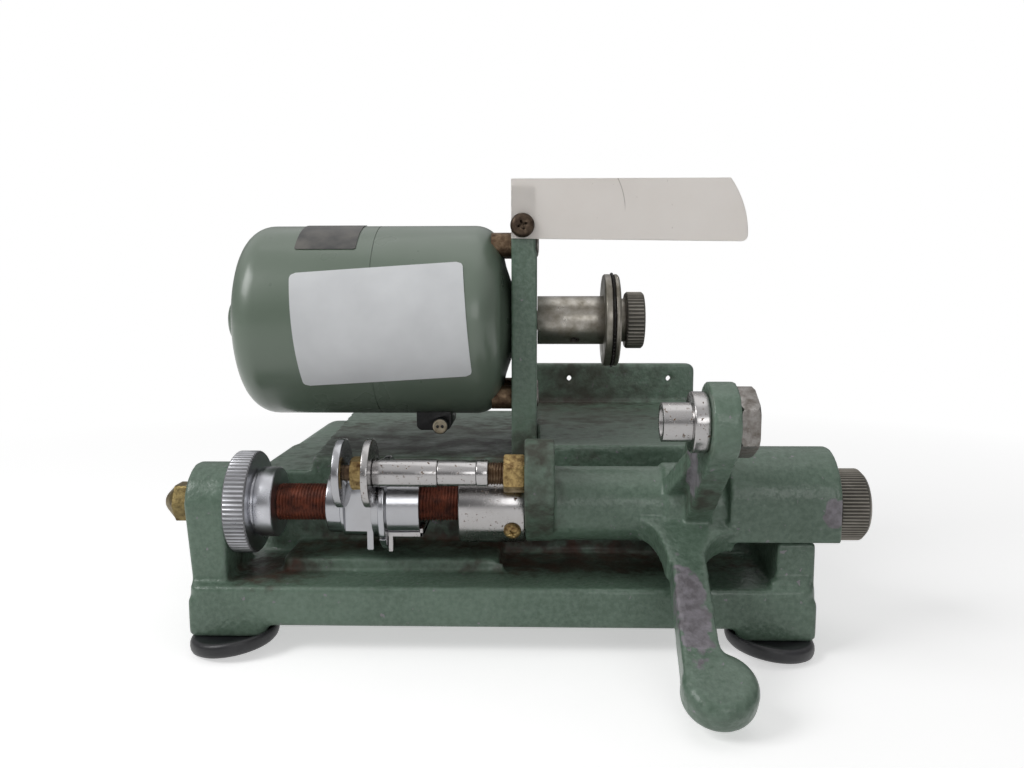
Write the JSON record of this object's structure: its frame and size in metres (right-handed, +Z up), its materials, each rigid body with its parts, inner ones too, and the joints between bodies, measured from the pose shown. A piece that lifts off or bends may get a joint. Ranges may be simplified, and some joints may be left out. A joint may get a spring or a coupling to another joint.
{
  "type": "key duplicating machine",
  "caption": "Bench key cutting machine: motor-driven cutting disc above a screw-fed swinging carriage with guide discs, key holder arm and handle, on a cast base.",
  "frame": {"origin": "centre of the machine's bounding box, on the table under its feet", "axes": "+X along the feed screw towards the end knob, +Y to the back, +Z up"},
  "size_m": [0.3288, 0.2953, 0.218],
  "materials": {
    "casting_paint": "hammertone green enamel, chipped",
    "motor_paint": "smooth grey-green enamel",
    "rubber": "black rubber",
    "steel": "grey pitted steel",
    "chrome": "chrome, pitted",
    "brass": "dull brass",
    "rusty_steel": "rusted steel",
    "copper": "enamelled copper",
    "shield_plastic": "pale frosted sheet",
    "black_plastic": "black"
  },
  "bodies": {
    "base": {"base_casting": "casting_paint", "foot_front_left": "rubber", "foot_front_right": "rubber", "foot_rear_left": "rubber", "foot_rear_right": "rubber", "foot_screws": "steel", "motor_bracket": "casting_paint", "bracket_bolts": "steel", "motor_spacers": "rusty_steel", "motor_bolts": "steel", "motor_front_shell": "motor_paint", "motor_rear_shell": "motor_paint", "motor_stator": "steel", "motor_windings": "copper", "front_bearing": "steel", "rear_bearing": "steel", "rear_bearing_cap": "motor_paint", "cord_grommet": "black_plastic", "cord_stub": "black_plastic", "shield_screw": "rusty_steel"},
    "shield": {"shield": "shield_plastic"},
    "spindle": {"motor_rotor": "steel", "spindle_shaft": "steel", "spindle_hub": "steel", "hub_set_screw": "steel", "inner_flange": "steel", "cutter_disc": "steel", "outer_flange": "steel", "clamp_nut": "steel"},
    "feed": {"feed_screw": "rusty_steel", "feed_wheel": "chrome", "acorn_nut": "brass"},
    "traverse": {"left_collar": "chrome", "stop_flange": "chrome", "traverse_nut": "chrome", "key_plate": "chrome"},
    "carriage": {"carriage_casting": "casting_paint", "guide_sleeve": "chrome", "sleeve_screw": "brass", "tracer_rod": "rusty_steel", "guide_disc_outer": "chrome", "guide_disc_inner": "chrome", "disc_nut": "brass", "long_spacer": "chrome", "short_spacer": "chrome", "rod_ring": "chrome", "rod_lock_nut": "brass", "key_holder_sleeve": "chrome", "holder_nut": "steel"},
    "knob": {"end_knob": "steel"}
  },
  "joints": [
    {"name": "spindle_spin", "type": "hinge", "parent": "base", "child": "spindle", "pos_m": [0, 0.012, 0.1484], "axis": [1, 0, 0], "continuous": true},
    {"name": "traverse_slide", "type": "slide", "parent": "base", "child": "traverse", "axis": [1, 0, 0], "range_m": [-0.006, 0.006]},
    {"name": "feed_turn", "type": "hinge", "parent": "base", "child": "feed", "pos_m": [0, -0.043, 0.0643], "axis": [1, 0, 0], "range_deg": [-1441, 1441]},
    {"name": "carriage_swing", "type": "hinge", "parent": "traverse", "child": "carriage", "pos_m": [0, -0.043, 0.0643], "axis": [-1, 0, 0], "range_deg": [0, 67]},
    {"name": "end_knob_turn", "type": "hinge", "parent": "carriage", "child": "knob", "pos_m": [0.1555, -0.043, 0.0643], "axis": [1, 0, 0], "continuous": true},
    {"name": "shield_tilt", "type": "hinge", "parent": "base", "child": "shield", "pos_m": [0.0052, -0.0177, 0.1957], "axis": [0, -1, 0], "range_deg": [-15, 75]}
  ],
  "couplings": [
    {"joint": "feed_turn", "follows": "traverse_slide", "rad_per_m": -4188.8}
  ]
}
